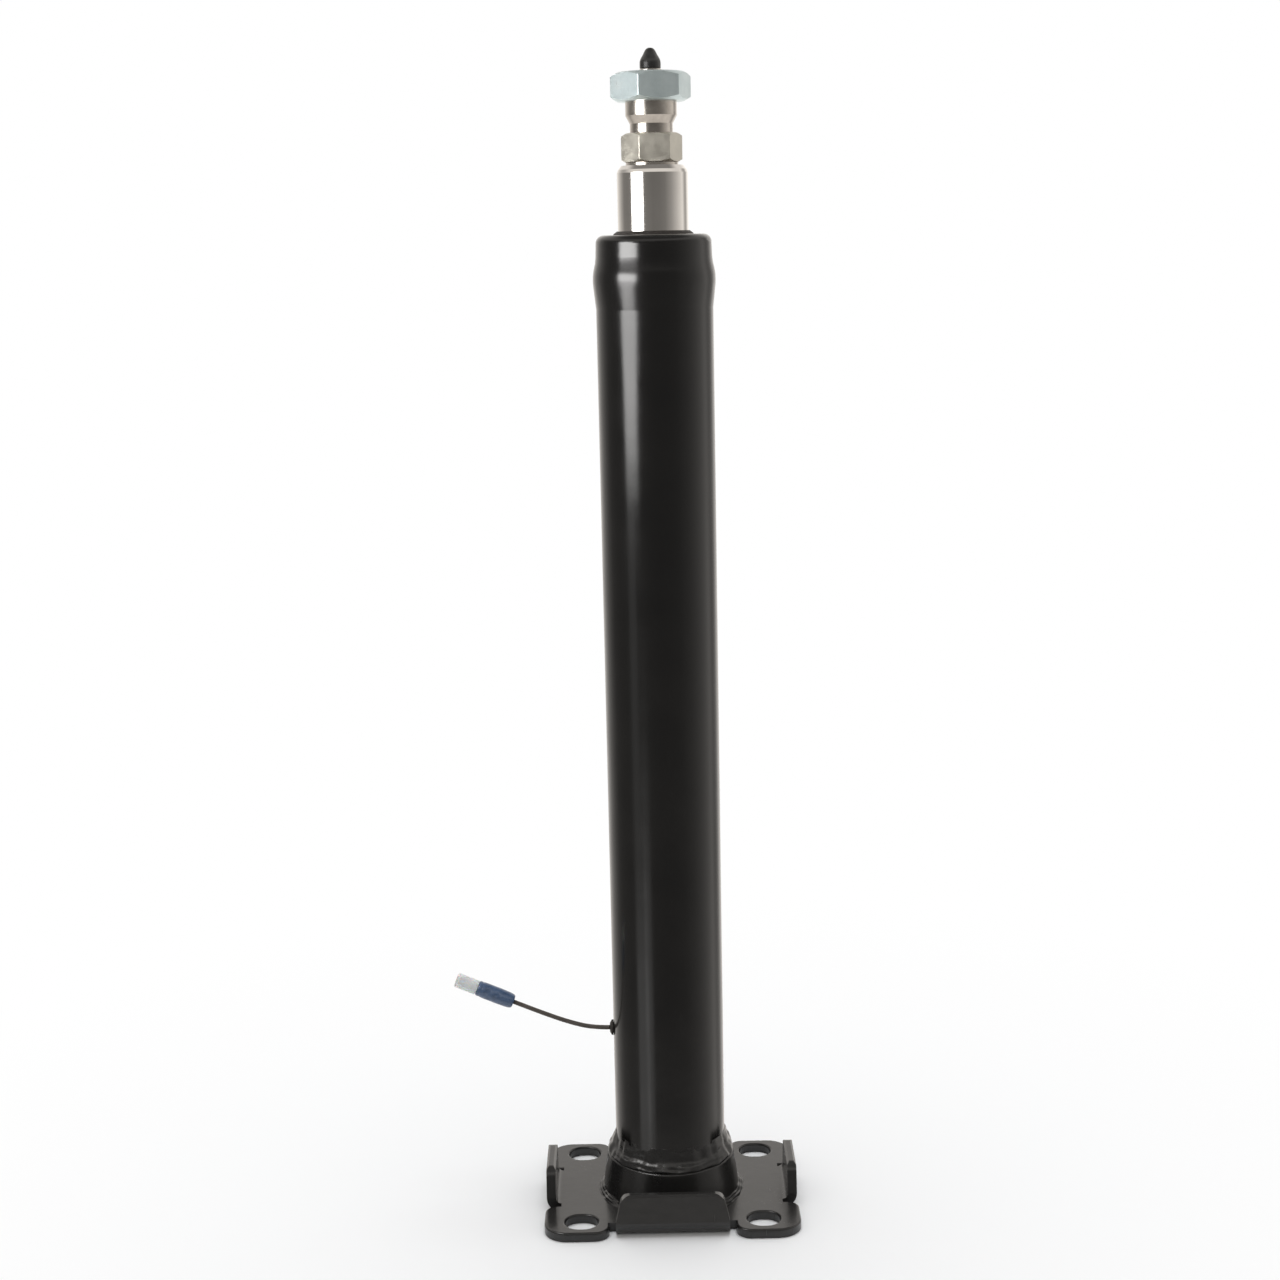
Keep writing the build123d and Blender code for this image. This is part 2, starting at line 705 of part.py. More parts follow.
def piston_ring():
    return lathe(
        (PISTON_RING_BORE, SPOOL_BOTTOM),
        (PISTON_RING_RADIUS, SPOOL_BOTTOM),
        (PISTON_RING_RADIUS, COIL_BOTTOM),
        (BAND_SEAT, COIL_BOTTOM),
        (BAND_SEAT, COIL_TOP),
        (PISTON_RING_RADIUS, COIL_TOP),
        (PISTON_RING_RADIUS, SPOOL_TOP),
        (PISTON_RING_BORE, SPOOL_TOP),
    )


def piston_band():
    return ring(BAND_SEAT, PLUNGER_BORE - RUNNING, COIL_BOTTOM, COIL_TOP, 0.3)


def piston_plate(bottom):
    """End plate of the piston, with holes that let the fluid into its ring gap."""
    plate = ring(ROD_END_RADIUS, PISTON_RING_RADIUS, bottom, bottom + PLATE, 0.4)
    hole_circle = (SPOOL_RADIUS + PISTON_RING_BORE) / 2
    drill = Pos(0, 0, bottom + PLATE / 2) * Cylinder(0.6, PLATE * 3)
    return plate - PolarLocations(hole_circle, 12) * drill


def piston_nut():
    return hexagon(ROD_NUT_FLATS, PISTON_TOP, PISTON_TOP + 7.0, 0.0, ROD_END_RADIUS)


# ---- plunger ------------------------------------------------------------------------------------

CLIP_BOTTOM = PLUNGER_FOOT + 0.6
CLIP_TOP = CLIP_BOTTOM + 1.4
CLIP_GROOVE = 16.3
CARRIER_BOTTOM = 112.0
CARRIER_TOP = 138.0
CARRIER_GROOVE = (22.0, 117.0, 133.0)
CARRIER_RADIUS = BORE_RADIUS - 0.6
PLUG_BOTTOM = 530.0
PLUG_SEAT_TOP = 553.0
ROLLED_EDGE = 13.7  # radius of the opening in the plunger's rolled top
ROD_BUSH_RADIUS = 8.6
ROD_BUSH_TOP = 134.0
ROD_SEAL_RADIUS = 11.0
ROD_SEAL_SEAT = 139.0
GUIDE_GROOVE = (12.9, 136.0, 140.4)


def plunger_tube():
    """Chromed tube, open at its foot, rolled in over the end plug at its top."""
    return lathe(
        (PLUNGER_BORE, PLUNGER_FOOT),
        (PLUNGER_RADIUS - 0.6, PLUNGER_FOOT),
        (PLUNGER_RADIUS, PLUNGER_FOOT + 0.6),
        (PLUNGER_RADIUS, PLUNGER_TOP - 3.6),
        (PLUNGER_RADIUS - 0.55, PLUNGER_TOP - 2.0),
        (PLUNGER_RADIUS - 2.1, PLUNGER_TOP),
        (ROLLED_EDGE, PLUNGER_TOP),
        (ROLLED_EDGE, PLUG_SEAT_TOP + 2.0),
        (PLUNGER_BORE, PLUG_SEAT_TOP),
        (PLUNGER_BORE, CLIP_TOP),
        (CLIP_GROOVE, CLIP_TOP),
        (CLIP_GROOVE, CLIP_BOTTOM),
        (PLUNGER_BORE, CLIP_BOTTOM),
    )


def guide_carrier():
    """Collar pressed on the plunger's foot, grooved for the guide ring."""
    groove, bottom, top = CARRIER_GROOVE
    return lathe(
        (PLUNGER_RADIUS, CARRIER_BOTTOM),
        (CARRIER_RADIUS - 1, CARRIER_BOTTOM),
        (CARRIER_RADIUS, CARRIER_BOTTOM + 1),
        (CARRIER_RADIUS, bottom),
        (groove, bottom),
        (groove, top),
        (CARRIER_RADIUS, top),
        (CARRIER_RADIUS, CARRIER_TOP - 3.0),
        (CARRIER_RADIUS - 3, CARRIER_TOP),
        (PLUNGER_RADIUS, CARRIER_TOP),
    )


def guide_ring():
    """Split wear ring between the carrier's groove and the barrel's bore."""
    groove, bottom, top = CARRIER_GROOVE
    wear = ring(groove + RUNNING, BORE_RADIUS - RUNNING, bottom + 0.1, top - 0.1, 0.4)
    split = Pos(0, (groove + BORE_RADIUS) / 2, (bottom + top) / 2) * Rot(0, 30, 0) * Box(1.2, 10, 40)
    return wear - split


def rod_guide():
    """Closes the plunger's lower end: seats for the bush, the rod seal and the outer seal."""
    free = ROD_RADIUS + STANDOFF + 0.1
    groove, groove_bottom, groove_top = GUIDE_GROOVE
    return lathe(
        (ROD_BUSH_RADIUS, CLIP_TOP),
        (PLUNGER_BORE, CLIP_TOP),
        (PLUNGER_BORE, groove_bottom),
        (groove, groove_bottom),
        (groove, groove_top),
        (PLUNGER_BORE, groove_top),
        (PLUNGER_BORE, GUIDE_TOP - 1),
        (PLUNGER_BORE - 1, GUIDE_TOP),
        (ROD_SEAL_RADIUS, GUIDE_TOP),
        (ROD_SEAL_RADIUS, ROD_SEAL_SEAT),
        (free, ROD_SEAL_SEAT),
        (free, ROD_BUSH_TOP),
        (ROD_BUSH_RADIUS, ROD_BUSH_TOP),
    )


def rod_bush():
    return ring(ROD_RADIUS + RUNNING, ROD_BUSH_RADIUS, CLIP_TOP + 1, ROD_BUSH_TOP)


def rod_seal():
    """Lip seal round the rod, with a spring groove open upwards."""
    lip = ROD_RADIUS + RUNNING
    cleft_bottom = ROD_SEAL_SEAT + 4.5
    return lathe(
        (lip + 0.6, ROD_SEAL_SEAT),
        (ROD_SEAL_RADIUS, ROD_SEAL_SEAT),
        (ROD_SEAL_RADIUS, GUIDE_TOP - 1),
        (ROD_SEAL_RADIUS - 1.1, GUIDE_TOP - 1),
        (ROD_SEAL_RADIUS - 1.7, cleft_bottom),
        (lip + 1.2, cleft_bottom),
        (lip + 0.8, GUIDE_TOP - 1),
        (lip, GUIDE_TOP - 1),
        (lip, GUIDE_TOP - 3),
    )


def rod_guide_o_ring():
    groove, bottom, top = GUIDE_GROOVE
    return o_ring(groove, PLUNGER_BORE, (bottom + top) / 2)


def rod_guide_clip():
    """Snap ring in the groove at the plunger's foot, with its gap."""
    clip_bore = CLIP_GROOVE - 3.1
    clip = ring(clip_bore, CLIP_GROOVE, CLIP_BOTTOM, CLIP_TOP)
    return clip - Pos(0, PLUNGER_BORE - 0.5, CLIP_BOTTOM) * Box(6, 8, 8)


STUD_TOP = NUT_BOTTOM + NUT_HEIGHT
VALVE_RADIUS = 3.0
VALVE_BOTTOM = STUD_TOP - 14.0
VALVE_COLLAR_TOP = STUD_TOP + 1.8
PLUG_NECK = 13.3
GAS_WAY_RADIUS = 1.0
PLUG_GROOVE = (13.2, 538.0, 542.0)


def end_plug():
    """Plug in the plunger's top: seat, neck, hexagon, groove, shoulder and threaded stud."""
    groove, groove_bottom, groove_top = PLUG_GROOVE
    low = lathe(
        (0, PLUG_BOTTOM),
        (PLUNGER_BORE - 1, PLUG_BOTTOM),
        (PLUNGER_BORE, PLUG_BOTTOM + 1),
        (PLUNGER_BORE, groove_bottom),
        (groove, groove_bottom),
        (groove, groove_top),
        (PLUNGER_BORE, groove_top),
        (PLUNGER_BORE, PLUG_SEAT_TOP),
        (PLUG_NECK, PLUG_SEAT_TOP + 2.2),
        (PLUG_NECK, HEX_BOTTOM),
        (0, HEX_BOTTOM),
    )
    flats = hexagon(HEX_FLATS, HEX_BOTTOM, HEX_TOP, HEX_TURN)
    high = lathe(
        (0, HEX_TOP),
        (GROOVE_RADIUS, HEX_TOP),
        (GROOVE_RADIUS, SHOULDER_BOTTOM - 3.0),
        (SHOULDER_RADIUS - 0.5, SHOULDER_BOTTOM),
        (SHOULDER_RADIUS, SHOULDER_BOTTOM + 1.0),
        (SHOULDER_RADIUS, NUT_BOTTOM),
        (STUD_RADIUS, NUT_BOTTOM),
        (STUD_RADIUS, STUD_TOP - 1.5),
        (STUD_RADIUS - 1.5, STUD_TOP),
        (VALVE_RADIUS, STUD_TOP),
        (VALVE_RADIUS, VALVE_BOTTOM),
        (0, VALVE_BOTTOM),
    )
    way_middle = (PLUG_BOTTOM + VALVE_BOTTOM) / 2
    gas_way = Pos(0, 0, way_middle) * Cylinder(GAS_WAY_RADIUS, VALVE_BOTTOM - PLUG_BOTTOM + 4)
    return low + flats + high - gas_way


def end_plug_o_ring():
    groove, bottom, top = PLUG_GROOVE
    return o_ring(groove, PLUNGER_BORE, (bottom + top) / 2)


def top_nut():
    """Thin hexagon nut on the stud, bevelled on both faces."""
    return hexagon(NUT_FLATS, NUT_BOTTOM, STUD_TOP, NUT_TURN, STUD_RADIUS, bevel=1.0, sink=0.8)


def gas_valve():
    """Filling valve in the stud, with a collar above it."""
    return lathe(
        (0.8, VALVE_BOTTOM),
        (VALVE_RADIUS, VALVE_BOTTOM),
        (VALVE_RADIUS, STUD_TOP),
        (CAP_RADIUS + 0.3, STUD_TOP),
        (CAP_RADIUS + 0.3, VALVE_COLLAR_TOP - 0.5),
        (CAP_RADIUS - 0.2, VALVE_COLLAR_TOP),
        (0.8, VALVE_COLLAR_TOP),
    )


def valve_cap():
    """Moulded ogive cap over the valve."""
    return revolve(
        flat(
            Line((0, VALVE_COLLAR_TOP), (CAP_RADIUS - 0.3, VALVE_COLLAR_TOP)),
            Line((CAP_RADIUS - 0.3, VALVE_COLLAR_TOP), (CAP_RADIUS, VALVE_COLLAR_TOP + 0.4)),
            Line((CAP_RADIUS, VALVE_COLLAR_TOP + 0.4), (CAP_RADIUS, VALVE_COLLAR_TOP + 2.6)),
            Spline(
                (CAP_RADIUS, VALVE_COLLAR_TOP + 2.6),
                (3.5, OVERALL_HEIGHT - 3.2),
                (0, OVERALL_HEIGHT),
                tangents=[(0, 1), (-1, 0)],
            ),
            Line((0, OVERALL_HEIGHT), (0, VALVE_COLLAR_TOP)),
        ),
        Axis.Z,
    )


# ---- floating gas piston ------------------------------------------------------------------------

GAS_PISTON_RADIUS = 15.1
GAS_CUP_BOTTOM = GAS_PISTON_BOTTOM + 8.0
GAS_BAND = (13.9, 355.0, 361.0)
GAS_GROOVE = (12.6, 365.0, 369.4)


def gas_piston():
    """Cup-shaped floating piston, open towards the gas, with a groove for its band and its seal."""
    points = [(0, GAS_PISTON_BOTTOM), (GAS_PISTON_RADIUS - 0.8, GAS_PISTON_BOTTOM)]
    points.append((GAS_PISTON_RADIUS, GAS_PISTON_BOTTOM + 0.8))
    for groove, bottom, top in (GAS_BAND, GAS_GROOVE):
        points += [(GAS_PISTON_RADIUS, bottom), (groove, bottom), (groove, top), (GAS_PISTON_RADIUS, top)]
    points += [
        (GAS_PISTON_RADIUS, GAS_PISTON_TOP),
        (10.5, GAS_PISTON_TOP),
        (9.5, GAS_CUP_BOTTOM),
        (0, GAS_CUP_BOTTOM),
    ]
    return lathe(*points)


def gas_piston_band():
    groove, bottom, top = GAS_BAND
    return ring(groove, PLUNGER_BORE - RUNNING, bottom, top, 0.3)


def gas_piston_o_ring():
    groove, bottom, top = GAS_GROOVE
    return o_ring(groove, PLUNGER_BORE - RUNNING, (bottom + top) / 2)


# ---- every piece, by node name ------------------------------------------------------------------

PIECES = [
    barrel_tube, foot_plate, base_collar, base_weld, foot_weld, base_plug,
    gland, gland_o_ring, upper_bush, plunger_seal, wiper_seal,
    piston_rod, rod_nut, rod_seal_washer, bump_seat, bump_stop, rebound_stop,
    piston_core, piston_coil, piston_ring, piston_band, piston_nut,
    lead_grommet, inner_lead, lead_wire, connector_boot, connector_sleeve, connector_terminal,
    guide_ring,
    plunger_tube, guide_carrier, rod_guide, rod_bush, rod_seal, rod_guide_o_ring, rod_guide_clip,
    end_plug, end_plug_o_ring, top_nut, gas_valve, valve_cap,
    gas_piston, gas_piston_band, gas_piston_o_ring,
]


def main():
    os.makedirs("parts", exist_ok=True)
    shapes = {make.__name__: make() for make in PIECES}
    shapes["piston_plate_lower"] = piston_plate(PISTON_BOTTOM)
    shapes["piston_plate_upper"] = piston_plate(SPOOL_TOP)
    for node, shape in shapes.items():
        shape.label = node
        export_step(shape, f"parts/{node}.step")
    print(len(shapes), "nodes")


main()
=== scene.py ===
"""Looks of the telescopic hydraulic cylinder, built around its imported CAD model. Metres, +Z up."""

import json
import math

import bpy
from mathutils import Matrix, Vector, noise


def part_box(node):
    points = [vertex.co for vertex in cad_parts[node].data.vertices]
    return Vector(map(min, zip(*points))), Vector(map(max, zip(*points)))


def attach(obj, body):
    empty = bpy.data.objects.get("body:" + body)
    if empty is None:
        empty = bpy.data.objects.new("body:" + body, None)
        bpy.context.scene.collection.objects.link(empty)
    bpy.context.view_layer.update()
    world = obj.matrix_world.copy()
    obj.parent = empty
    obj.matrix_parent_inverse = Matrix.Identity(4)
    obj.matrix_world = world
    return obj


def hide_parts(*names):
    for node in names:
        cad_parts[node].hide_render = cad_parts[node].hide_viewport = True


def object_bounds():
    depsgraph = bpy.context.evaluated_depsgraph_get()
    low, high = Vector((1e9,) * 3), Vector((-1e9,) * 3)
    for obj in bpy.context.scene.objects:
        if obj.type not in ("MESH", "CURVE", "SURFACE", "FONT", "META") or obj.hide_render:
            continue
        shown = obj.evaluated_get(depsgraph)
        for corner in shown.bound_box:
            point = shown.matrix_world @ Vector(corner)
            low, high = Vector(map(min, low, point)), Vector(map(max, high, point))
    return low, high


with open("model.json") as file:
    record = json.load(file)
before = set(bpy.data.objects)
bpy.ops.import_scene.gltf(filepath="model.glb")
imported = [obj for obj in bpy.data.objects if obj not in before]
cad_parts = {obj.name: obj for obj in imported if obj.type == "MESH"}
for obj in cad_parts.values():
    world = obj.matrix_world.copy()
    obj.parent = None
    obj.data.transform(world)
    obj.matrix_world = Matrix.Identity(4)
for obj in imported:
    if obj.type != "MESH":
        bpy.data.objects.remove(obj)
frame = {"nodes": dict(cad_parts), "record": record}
cad_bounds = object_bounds()
nodes = frame["nodes"]

MM = 0.001
TAU = 2 * math.pi


def put_in_scene(name, data):
    """A new object of the scene that shows this data."""
    thing = bpy.data.objects.new(name, data)
    bpy.context.scene.collection.objects.link(thing)
    return thing


# ---- camera -------------------------------------------------------------------------------------

CAMERA_PLACE = Vector((-0.0111, -1.0465, 0.521))
CAMERA_PITCH_DOWN = math.radians(11.15)
CAMERA_ROLL = math.radians(1.2)
FOCAL_IN_FRAMES = 1.578125  # focal length as a share of the frame's width
SENSOR_MM = 36.0


def make_camera():
    """The camera in front: a little above the middle, looking slightly down."""
    data = bpy.data.cameras.new("camera")
    data.sensor_width = SENSOR_MM
    data.lens = SENSOR_MM * FOCAL_IN_FRAMES
    camera = put_in_scene("camera", data)
    turn = Matrix.Rotation(math.pi / 2 - CAMERA_PITCH_DOWN, 4, "X")
    roll = Matrix.Rotation(-CAMERA_ROLL, 4, "Z")
    camera.matrix_world = Matrix.Translation(CAMERA_PLACE) @ turn @ roll
    bpy.context.scene.camera = camera


# ---- mesh helpers -------------------------------------------------------------------------------


def barrel_piece(name, vertices, faces, node):
    """A smooth mesh piece in metres that rides on the barrel and stands for a CAD node."""
    mesh = bpy.data.meshes.new(name)
    mesh.from_pydata(vertices, [], faces)
    mesh.update()
    mesh.polygons.foreach_set("use_smooth", [True] * len(mesh.polygons))
    piece = put_in_scene(name, mesh)
    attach(piece, "barrel")
    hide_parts(node)
    return piece


def grid_faces(rows, columns):
    """Faces of a grid of vertices that closes on itself both ways."""
    faces = []
    for row in range(rows):
        below = (row + 1) % rows
        for column in range(columns):
            right = (column + 1) % columns
            faces.append(
                (
                    row * columns + column,
                    row * columns + right,
                    below * columns + right,
                    below * columns + column,
                )
            )
    return faces


def around(centre, along, angle, radius):
    """The point at an angle and a radius round a line that runs along a direction square to Y."""
    side = Vector((0, 1, 0))
    up = along.cross(side)
    return centre + (side * math.cos(angle) + up * math.sin(angle)) * radius


# ---- the free lead ------------------------------------------------------------------------------

LEAD_DIAMETER = 0.0024
LEAD_ROUTE = [
    (-0.0320, 0.0, 0.0986),
    (-0.0410, 0.0, 0.0986),
    (-0.0545, 0.0, 0.1022),
    (-0.0700, 0.0, 0.1083),
    (-0.0845, 0.0, 0.1146),
]
LEAD_COLUMNS = 32


def lead_line():
    """Points along one smooth spline over the route's points."""
    curve = bpy.data.curves.new("lead_line", "CURVE")
    curve.dimensions = "3D"
    spline = curve.splines.new("NURBS")
    spline.points.add(len(LEAD_ROUTE) - 1)
    for point, place in zip(spline.points, LEAD_ROUTE):
        point.co = (*place, 1.0)
    spline.order_u = 3
    spline.use_endpoint_u = True
    spline.resolution_u = 16
    bare = bpy.data.objects.new("lead_line", curve)
    mesh = bpy.data.meshes.new_from_object(bare)
    line = [vertex.co.copy() for vertex in mesh.vertices]
    bpy.data.meshes.remove(mesh)
    bpy.data.objects.remove(bare)
    bpy.data.curves.remove(curve)
    return line


def make_lead(line):
    """The lead's sheath: a round tube along the line, closed at both ends."""
    last = len(line) - 1
    vertices = []
    for number, centre in enumerate(line):
        before, after = line[max(number - 1, 0)], line[min(number + 1, last)]
        along = (after - before).normalized()
        for column in range(LEAD_COLUMNS):
            vertices.append(around(centre, along, column / LEAD_COLUMNS * TAU, LEAD_DIAMETER / 2))
    faces = grid_faces(len(line), LEAD_COLUMNS)[: last * LEAD_COLUMNS]
    faces.append(tuple(range(LEAD_COLUMNS))[::-1])
    faces.append(tuple(range(last * LEAD_COLUMNS, (last + 1) * LEAD_COLUMNS)))
    return barrel_piece("lead_sheath", vertices, faces, "lead_wire")


# ---- welds --------------------------------------------------------------------------------------

TUBE_RADIUS = 0.030  # of the barrel above the upper weld
LUMP = 0.0013  # height of a weld's slow swellings
PUDDLE = 0.0007  # height of its shorter ones
RIPPLE = 0.00010  # height of the long crescent ripples along it
RIPPLE_PITCH = 0.0145
RIPPLE_DRIFT = 5.0  # radians by which a slow noise shifts the ripples
RIPPLE_JITTER = 1.1  # radians by which a quicker one does
RIPPLE_LEAN = 1.5  # radians by which they are shifted at the weld's edges, which bends them
LAYER = 0.00024  # height of the layers laid one above the other
LAYERS = 3.3
LAYER_SWING = 2.6  # radians by which the layers rise and fall along the weld
SAG = 0.0009  # how far a weld's foot runs down over the joint
TOE_WANDER = 0.07  # how far its upper edge wanders, as a share of its face
WELD_COLUMNS = 720  # of the mesh, round the axis
WELD_STEPS = 40  # of the mesh, up the face
BURIED_MM = 0.6  # how deep a weld's hidden side lies in the joint
WELD_NOISES = {  # how fast each noise changes round the axis, and up the face
    "slow": (2.6, 0.7),
    "short": (7.5, 1.6),
    "drift": (1.7, 0.0),
    "jitter": (8.0, 0.0),
    "strength": (3.7, 1.0),
    "toe": (4.0, 0.0),
    "sag": (4.6, 0.0),
    "swing": (2.4, 0.0),
    "depth": (3.1, 1.0),
}
NOISE_GAP = 7.3  # keeps each noise clear of the next


def weld_noises(angle, share, seed):
    """Every noise by name, from -1 to 1, at an angle and a share of the way up a weld's face.

    Each joins up after a full turn, because it is read round a circle.
    """
    values = {}
    for number, (name, (scale, climb)) in enumerate(WELD_NOISES.items(), start=seed):
        height = share * climb + number * NOISE_GAP
        values[name] = noise.noise(Vector((math.cos(angle) * scale, math.sin(angle) * scale, height)))
    return values


def curve_point(line, share):
    """The place and the outward direction at a share of the way along a smooth line of points."""
    last = len(line) - 1
    part = min(int(share * last), last - 1)
    way = share * last - part
    near = [Vector(line[min(max(part + step, 0), last)]) for step in (-1, 0, 1, 2)]
    start, end = (near[2] - near[0]) / 2, (near[3] - near[1]) / 2
    place = (
        near[1] * (2 * way**3 - 3 * way**2 + 1)
        + start * (way**3 - 2 * way**2 + way)
        + near[2] * (3 * way**2 - 2 * way**3)
        + end * (way**3 - way**2)
    )
    slope = (
        near[1] * (6 * way**2 - 6 * way)
        + start * (3 * way**2 - 4 * way + 1)
        + near[2] * (6 * way - 6 * way**2)
        + end * (3 * way**2 - 2 * way)
    )
    return place, Vector((slope.y, -slope.x)).normalized()


def weld_rise(angle, share, ripples, seed):
    """How far a weld stands out at an angle and a share of the way up its face."""
    noises = weld_noises(angle, share, seed)
    edge = (2 * share - 1) ** 2  # 0 half way up the face, 1 at its edges
    shift = RIPPLE_LEAN * edge + RIPPLE_DRIFT * noises["drift"] + RIPPLE_JITTER * noises["jitter"]
    ripple = (0.6 + 0.6 * noises["strength"]) * math.sin(ripples * angle + shift)
    layer = (0.7 + noises["depth"]) * math.sin(TAU * LAYERS * share + LAYER_SWING * noises["swing"])
    rise = LUMP * noises["slow"] + PUDDLE * noises["short"] + RIPPLE * ripple + LAYER * layer
    return max(0.0, 1 - edge) ** 0.5 * rise


def weld_section(angle, face, ripples, seed):
    """The (radius, height) points of a weld's face at one angle, from its foot up."""
    noises = weld_noises(angle, 0.0, seed)
    reach = 1 + TOE_WANDER * noises["toe"]
    sag = SAG * (0.3 + noises["sag"])
    section = []
    for step in range(WELD_STEPS + 1):
        share = step / WELD_STEPS
        place, out = curve_point(face, min(share * reach, 1.0))
        place.y -= sag * (1 - share) ** 2
        section.append(place + out * weld_rise(angle, share, ripples, seed))
    return section


def weld_ring(name, node, face, root, seed):
    """A weld all round the axis: its lumpy face, closed by its root buried in the joint.

    face and root are (radius, height) points, the face's from its foot up. Its upper edge wanders
    a little along the joint, and its foot sags unevenly over it.
    """
    ripples = round(face[0][0] * TAU / RIPPLE_PITCH)
    root = [Vector(point) for point in root]
    sections = []
    for column in range(WELD_COLUMNS):
        angle = column / WELD_COLUMNS * TAU
        sections.append((angle, weld_section(angle, face, ripples, seed) + root))
    rows = WELD_STEPS + 1 + len(root)
    vertices = []
    for row in range(rows):
        for angle, section in sections:
            radius, height = section[row]
            vertices.append((radius * math.cos(angle), radius * math.sin(angle), height))
    return barrel_piece(name, vertices, grid_faces(rows, WELD_COLUMNS), node)


def near_corner(radius, height, *steps):
    """(radius, height) points, each at a step in millimetres from one corner."""
    return [(radius + across * MM, height + up * MM) for across, up in steps]


def tube_weld():
    """The weld round the tube on its collar."""
    low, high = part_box("base_weld")
    face = [
        *near_corner(high.x, low.z, (-1.0, -0.2), (0.0, 1.2), (-0.9, 3.0), (-2.2, 5.0), (-3.3, 7.8)),
        *near_corner(TUBE_RADIUS, high.z, (0.2, -1.6), (-0.1, 0.0)),
    ]
    root = [
        *near_corner(TUBE_RADIUS, high.z, (-BURIED_MM, 0.0)),
        *near_corner(TUBE_RADIUS, low.z, (-BURIED_MM, -BURIED_MM)),
        *near_corner(high.x, low.z, (-2.0, -BURIED_MM)),
    ]
    return weld_ring("weld_tube", "base_weld", face, root, seed=1)


def foot_weld():
    """The weld between the collar and the foot's sheet."""
    low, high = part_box("foot_weld")
    face = [
        *near_corner(high.x, low.z, (-0.2, -0.2), (-1.2, 0.9), (-2.4, 2.1)),
        *near_corner(high.x, high.z, (-3.4, 0.2)),
    ]
    root = [
        *near_corner(high.x, high.z, (-4.2, 0.0)),
        *near_corner(high.x, low.z, (-4.2, -BURIED_MM), (-1.0, -BURIED_MM)),
    ]
    return weld_ring("weld_foot", "foot_weld", face, root, seed=5)


# ---- connector ----------------------------------------------------------------------------------

# The crimp barrel's outlines are (place, radius) points in millimetres from its mouth, where the
# lead goes in, to the clear end. The bore comes back from that end to the mouth.
BOOT_MOUTH = [
    (0.0, 3.0), (0.15, 3.35), (0.5, 3.65), (1.0, 3.88),
    (2.0, 4.08), (3.2, 4.2), (4.5, 4.26), (5.5, 4.29),
]
BOOT_RADIUS = 4.3
BOOT_STRAIGHT = range(6, 18)  # the straight middle has a ring half way along each of these millimetres
BOOT_RIB = [(18.3, 4.25), (18.7, 4.05), (19.1, 4.05), (19.5, 4.22), (20.2, 4.22), (20.8, 4.05), (21.2, 3.7)]
BOOT_BORE = [(21.2, 1.7), (20.0, 1.62), (4.2, 1.62), (4.0, 1.24), (1.2, 1.24), (0.6, 1.6), (0.0, 2.3)]
BOOT_COLUMNS = 72
HOLLOWS_AT = (9.3, 14.6)  # where the crimping tool pressed it, front and back
HOLLOW_DEPTH = 0.85
HOLLOW_SPREAD = 1.5
BULGE_HEIGHT = 0.22  # of the two sides that the tool left free
BULGE_SPREAD = 2.0
BOOT_WIDEST = 4.38


def pressed(place, radius, facing):
    """The crimp barrel's radius after pressing. facing is 1 towards the tool and 0 square to it."""
    for middle in HOLLOWS_AT:
        hollow = math.exp(-(((place - middle) / HOLLOW_SPREAD) ** 2)) * facing**3
        bulge = math.exp(-(((place - middle) / BULGE_SPREAD) ** 2)) * (1 - facing) ** 2
        radius += BULGE_HEIGHT * bulge - HOLLOW_DEPTH * hollow
    return min(radius, BOOT_WIDEST)


def make_boot():
    """The connector's crimp barrel: a rounded mouth, a body with two hollows, a rib and a bore."""
    end, before = Vector(LEAD_ROUTE[-1]), Vector(LEAD_ROUTE[-2])
    along = (end - before).normalized()
    middle = [(millimetre + 0.5, BOOT_RADIUS) for millimetre in BOOT_STRAIGHT]
    outside = BOOT_MOUTH + middle + BOOT_RIB
    vertices = []
    for number, (place, radius) in enumerate(outside + BOOT_BORE):
        centre = end + along * place * MM
        for column in range(BOOT_COLUMNS):
            angle = column / BOOT_COLUMNS * TAU
            reach = pressed(place, radius, abs(math.cos(angle))) if number < len(outside) else radius
            vertices.append(around(centre, along, angle, reach * MM))
    faces = grid_faces(len(outside) + len(BOOT_BORE), BOOT_COLUMNS)
    boot = barrel_piece("crimp_boot", vertices, faces, "connector_boot")
    smooth = boot.modifiers.new("smooth", "SUBSURF")
    smooth.levels = smooth.render_levels = 1
    return boot


# ---- node helpers -------------------------------------------------------------------------------


